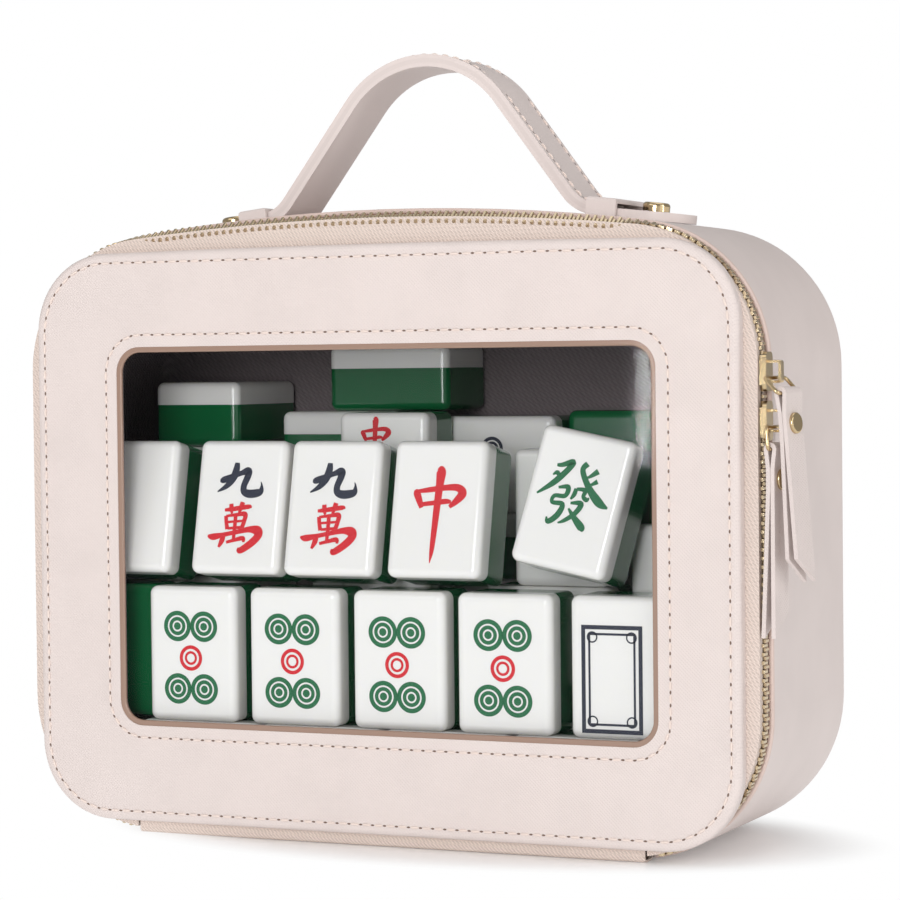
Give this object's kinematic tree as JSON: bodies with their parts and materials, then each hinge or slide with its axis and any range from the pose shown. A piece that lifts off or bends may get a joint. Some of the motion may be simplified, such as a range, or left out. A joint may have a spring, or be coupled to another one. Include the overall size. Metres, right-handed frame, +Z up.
{
  "type": "mahjong case",
  "caption": "Hard-sided zip-around case in pale pink leatherette with a clear lid window, an arched handle and a set of mahjong tiles inside.",
  "frame": {"origin": "middle of the base, on the table", "axes": "+X across the case towards the sliders, +Y from the lid to the back, +Z up"},
  "size_m": [0.2271, 0.08, 0.2139],
  "materials": {
    "pu": "cross-grained",
    "foam": "matt",
    "board": "matt",
    "lining": "matt",
    "piping": "satin",
    "window": "clear",
    "binding": "satin",
    "tape": "woven",
    "teeth": "polished",
    "gold": "polished",
    "steel": "satin",
    "tile_face": "glossy",
    "tile_back": "glossy"
  },
  "bodies": {
    "case": {"body_skin": "pu", "body_foam": "foam", "body_board": "board", "body_lining": "lining", "body_piping": "piping", "rear_tape": "tape", "rear_teeth": "teeth", "hinge_strip": "tape", "handle_strap": "pu", "handle_core": "foam", "handle_lining": "pu", "left_keeper": "pu", "right_keeper": "pu", "left_stud": "gold", "right_stud": "gold", "stud_washers": "steel", "stud_screws": "steel", "tile_faces": "tile_face", "tile_backs": "tile_back"},
    "lid": {"panel_skin": "pu", "panel_board": "board", "panel_lining": "lining", "window_sheet": "window", "window_binding": "binding", "front_tape": "tape", "front_teeth": "teeth"},
    "upper_slide": {"upper_slider": "gold"},
    "upper_link": {"upper_ring": "gold"},
    "upper_pull": {"upper_pull_tab": "pu", "upper_pull_rivet": "gold"},
    "lower_slide": {"lower_slider": "gold"},
    "lower_link": {"lower_ring": "gold"},
    "lower_pull": {"lower_pull_tab": "pu", "lower_pull_rivet": "gold"},
    "left_foot": {"left_handle_tab": "pu"},
    "right_foot": {"right_handle_tab": "pu"}
  },
  "joints": [
    {"name": "lid_hinge", "type": "hinge", "parent": "case", "child": "lid", "pos_m": [0, -0.0395, 0.0011], "axis": [1, 0, 0], "range_deg": [0, 88], "deforming": ["front_teeth", "rear_teeth", "hinge_strip"]},
    {"name": "upper_slider_run", "type": "hinge", "parent": "case", "child": "upper_slide", "pos_m": [0.0699, -0.0327, 0.1277], "axis": [0, -1, 0], "range_deg": [0, 60], "deforming": ["front_teeth", "rear_teeth", "front_tape", "rear_tape"]},
    {"name": "upper_ring_lift", "type": "hinge", "parent": "upper_slide", "child": "upper_link", "pos_m": [0.10955, -0.0327, 0.12425], "axis": [-0.225, -0.9744, 0], "range_deg": [0, 40]},
    {"name": "upper_pull_lift", "type": "hinge", "parent": "upper_link", "child": "upper_pull", "pos_m": [0.11341, -0.03359, 0.12029], "axis": [-0.225, -0.9744, 0], "range_deg": [0, 40]},
    {"name": "lower_slider_run", "type": "slide", "parent": "case", "child": "lower_slide", "axis": [0, 0, -1], "range_m": [0, 0.055], "deforming": ["front_teeth", "rear_teeth"]},
    {"name": "lower_ring_lift", "type": "hinge", "parent": "lower_slide", "child": "lower_link", "pos_m": [0.10955, -0.0327, 0.11185], "axis": [-0.1392, -0.9903, 0], "range_deg": [0, 4]},
    {"name": "lower_pull_lift", "type": "hinge", "parent": "lower_link", "child": "lower_pull", "pos_m": [0.11003, -0.03277, 0.10627], "axis": [-0.1392, -0.9903, 0], "range_deg": [0, 3]},
    {"name": "left_foot_slide", "type": "slide", "parent": "case", "child": "left_foot", "axis": [-0.9934, 0, -0.1146], "range_m": [0, 0.01]},
    {"name": "right_foot_slide", "type": "slide", "parent": "case", "child": "right_foot", "axis": [0.9934, 0, -0.1146], "range_m": [0, 0.01]}
  ]
}
